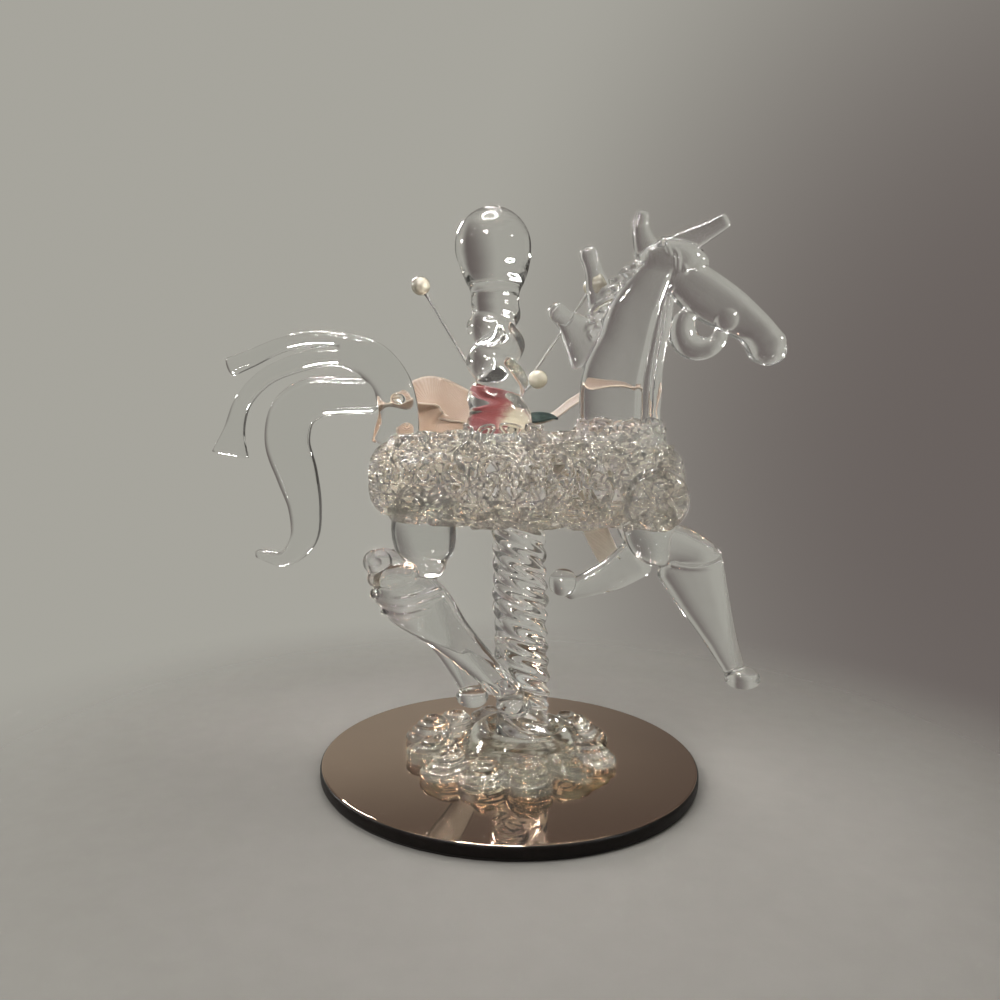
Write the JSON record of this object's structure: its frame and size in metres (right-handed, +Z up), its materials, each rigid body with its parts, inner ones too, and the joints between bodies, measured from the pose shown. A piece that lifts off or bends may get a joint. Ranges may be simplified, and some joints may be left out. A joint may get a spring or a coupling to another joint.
{
  "type": "glass carousel horse figurine",
  "caption": "Lampworked clear glass carousel horse with a looped thread body on a twisted glass pole, with a ribbon bow and pearl sprays, on a round tinted mirror",
  "frame": {"origin": "centre of the underside of the round mirror base", "axes": "+X towards the horse's head, +Y towards the far side where the bow is tied, +Z up"},
  "size_m": [0.0924, 0.061, 0.0912],
  "materials": {
    "clear_glass": "fire-polished, clear",
    "rose_mirror": "rose-bronze tinted mirror glass with a dark edge",
    "dark_backing": "dark matt backing paint",
    "peach_satin": "satin ribbon",
    "cream_satin": "satin ribbon",
    "red_satin": "satin ribbon",
    "leaf_green": "stiffened cloth",
    "pearl": "pearl lustre",
    "white_wire": "smooth"
  },
  "bodies": {
    "root": {"bow_knot": "peach_satin", "bow_left_loop": "peach_satin", "bow_right_loop": "peach_satin", "bow_rump_tail": "cream_satin", "bow_shoulder_tail": "cream_satin", "cheek_curl": "clear_glass", "ear_forward": "clear_glass", "ear_upright": "clear_glass", "finial_ball": "clear_glass", "fore_far_hoof": "clear_glass", "fore_far_lower": "clear_glass", "fore_far_upper": "clear_glass", "fore_near_hoof": "clear_glass", "fore_near_lower": "clear_glass", "fore_near_upper": "clear_glass", "forelock": "clear_glass", "head": "clear_glass", "hind_far_cannon": "clear_glass", "hind_far_hock": "clear_glass", "hind_far_hoof": "clear_glass", "hind_far_thigh": "clear_glass", "hind_near_cannon": "clear_glass", "hind_near_hock": "clear_glass", "hind_near_hoof": "clear_glass", "hind_near_thigh": "clear_glass", "lattice_back": "clear_glass", "lattice_belly": "clear_glass", "lattice_chest": "clear_glass", "lattice_far_side": "clear_glass", "lattice_near_side": "clear_glass", "lattice_rump": "clear_glass", "leaf": "leaf_green", "lower_pole": "clear_glass", "mane_crest": "clear_glass", "mane_lower_lock": "clear_glass", "mane_upper_lock": "clear_glass", "mirror_backing": "dark_backing", "mirror_glass": "rose_mirror", "neck": "clear_glass", "nest_curl_1": "clear_glass", "nest_curl_2": "clear_glass", "nest_curl_3": "clear_glass", "nest_curl_4": "clear_glass", "nest_curl_5": "clear_glass", "nest_curl_6": "clear_glass", "pearl_1": "pearl", "pearl_2": "pearl", "pearl_3": "pearl", "pearl_stem_1": "white_wire", "pearl_stem_2": "white_wire", "pearl_stem_3": "white_wire", "pole_foot": "clear_glass", "ribbon_rose": "red_satin", "tail_lower_lock": "clear_glass", "tail_middle_lock": "clear_glass", "tail_root": "clear_glass", "tail_upper_lock": "clear_glass", "upper_pole": "clear_glass", "upper_pole_collar": "clear_glass"}
  },
  "joints": []
}
